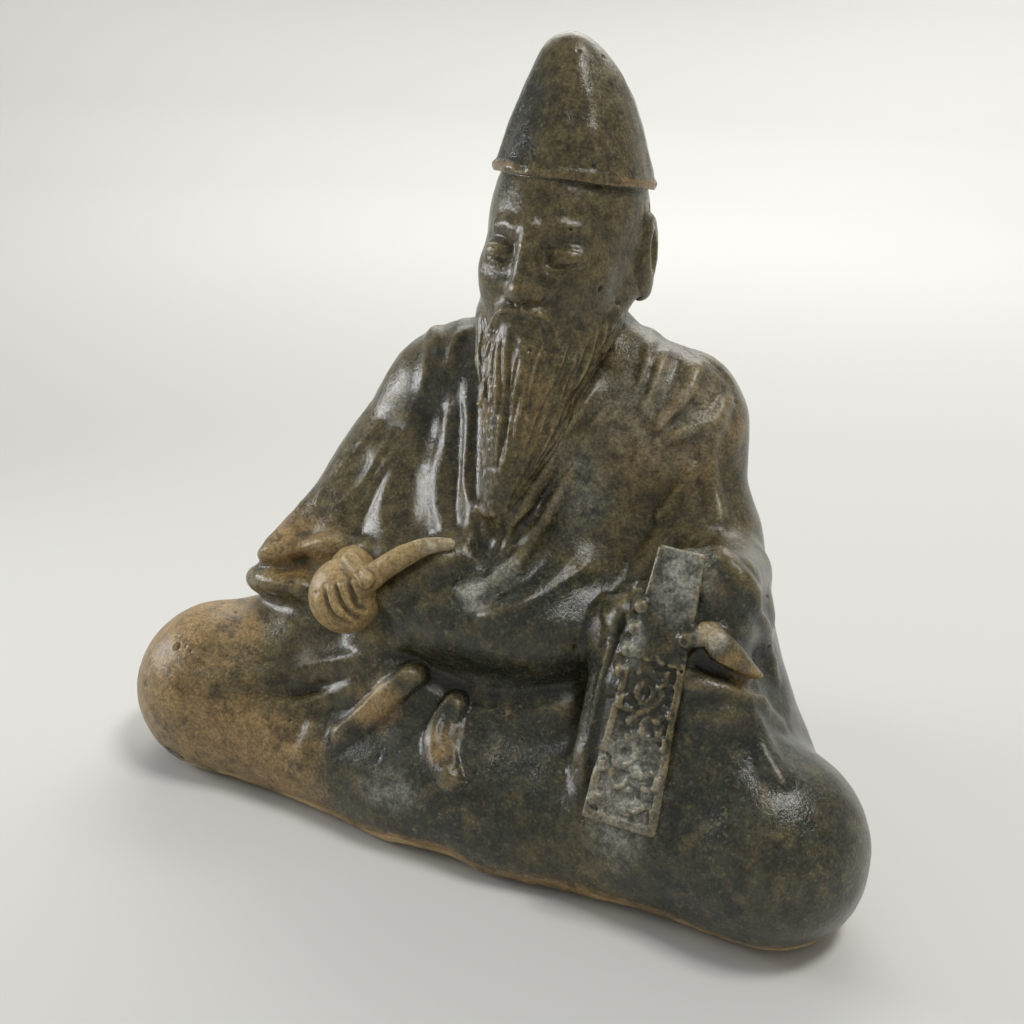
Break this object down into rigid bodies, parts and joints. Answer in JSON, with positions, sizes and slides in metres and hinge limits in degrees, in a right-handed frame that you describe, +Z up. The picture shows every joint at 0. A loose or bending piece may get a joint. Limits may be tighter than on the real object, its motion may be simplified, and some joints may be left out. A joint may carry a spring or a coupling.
{
  "type": "ceramic figurine",
  "caption": "Glazed stoneware figurine of a bearded sage in a tall cap, seated cross-legged in a robe, with a stick in one hand and a long tablet in the other.",
  "frame": {"origin": "centre of the bounding box, at the underside", "axes": "+X to the figure's left across the knees, -Y the way the figure faces, +Z up"},
  "size_m": [0.2086, 0.1174, 0.2002],
  "materials": {
    "glazed_stoneware": "glossy"
  },
  "bodies": {
    "root": {"figurine": "glazed_stoneware"}
  },
  "joints": []
}
